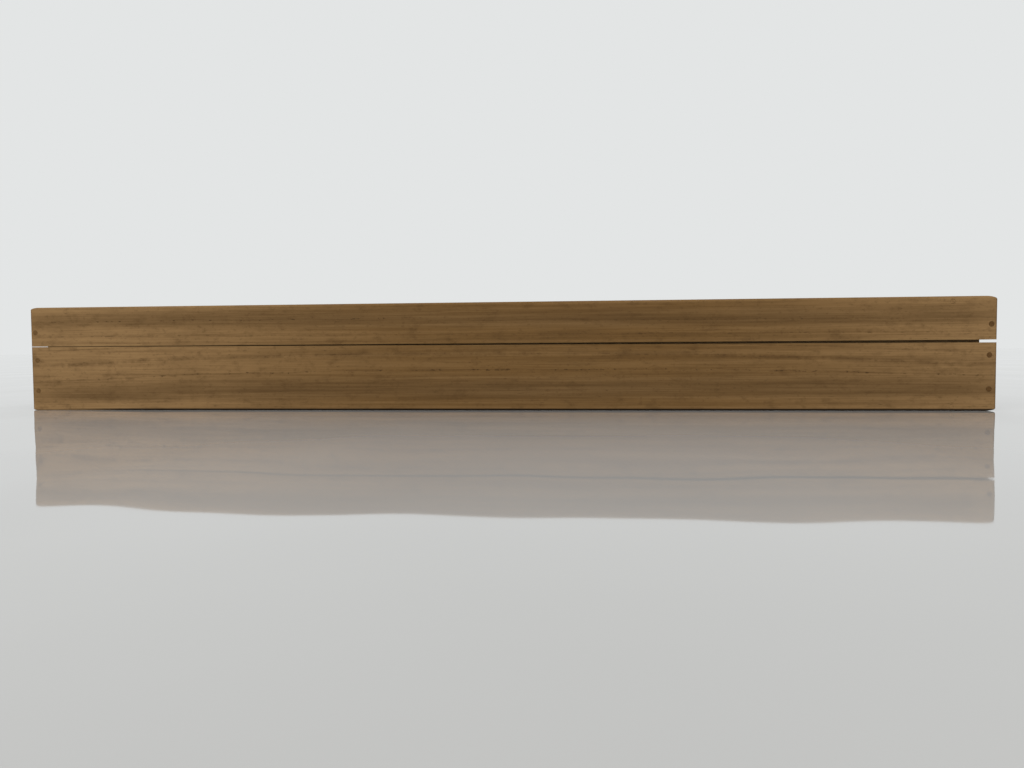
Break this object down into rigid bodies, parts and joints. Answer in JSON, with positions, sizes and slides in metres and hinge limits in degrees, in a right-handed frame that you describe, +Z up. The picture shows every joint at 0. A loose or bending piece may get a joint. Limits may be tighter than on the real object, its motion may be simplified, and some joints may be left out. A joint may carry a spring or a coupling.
{
  "type": "hanging scroll box",
  "caption": "Long pale-wood storage box for a hanging scroll, with a lift-off lid over an inner lip and notched rests for the roller.",
  "frame": {"origin": "middle of the underside, on the surface that the box stands on", "axes": "+X along the length, to the right when the front is faced; -Y towards the viewer of the front; +Z up"},
  "size_m": [0.6, 0.072, 0.067],
  "materials": {
    "aged_wood": "aged, hand-planed light wood with a dull rubbed surface",
    "inner_wood": "less exposed light wood, planed, unfinished",
    "peg_wood": "darker end grain of small wooden pegs, cut flush"
  },
  "bodies": {
    "base": {"base_front_board": "aged_wood", "base_back_board": "aged_wood", "base_left_end": "aged_wood", "base_right_end": "aged_wood", "bottom_board": "inner_wood", "lip_front": "inner_wood", "lip_right": "inner_wood", "lip_back": "inner_wood", "lip_left": "inner_wood", "rest_left": "inner_wood", "rest_right": "inner_wood", "base_peg_front_left_1": "peg_wood", "base_peg_front_left_2": "peg_wood", "base_peg_front_right_1": "peg_wood", "base_peg_front_right_2": "peg_wood", "base_peg_back_left_1": "peg_wood", "base_peg_back_left_2": "peg_wood", "base_peg_back_right_1": "peg_wood", "base_peg_back_right_2": "peg_wood", "bottom_peg_front_1": "peg_wood", "bottom_peg_front_2": "peg_wood", "bottom_peg_back_1": "peg_wood", "bottom_peg_back_2": "peg_wood", "bottom_peg_left_1": "peg_wood", "bottom_peg_left_2": "peg_wood", "bottom_peg_right_1": "peg_wood", "bottom_peg_right_2": "peg_wood"},
    "lid": {"lid_front_board": "aged_wood", "lid_back_board": "aged_wood", "lid_left_end": "aged_wood", "lid_right_end": "aged_wood", "top_board": "aged_wood", "lid_peg_front_left_1": "peg_wood", "lid_peg_front_right_1": "peg_wood", "lid_peg_back_left_1": "peg_wood", "lid_peg_back_right_1": "peg_wood", "top_peg_front_1": "peg_wood", "top_peg_front_2": "peg_wood", "top_peg_back_1": "peg_wood", "top_peg_back_2": "peg_wood", "top_peg_left_1": "peg_wood", "top_peg_left_2": "peg_wood", "top_peg_right_1": "peg_wood", "top_peg_right_2": "peg_wood"}
  },
  "joints": [
    {"name": "lid_lift", "type": "slide", "parent": "base", "child": "lid", "axis": [0, 0, 1], "range_m": [0, 0.12]}
  ]
}
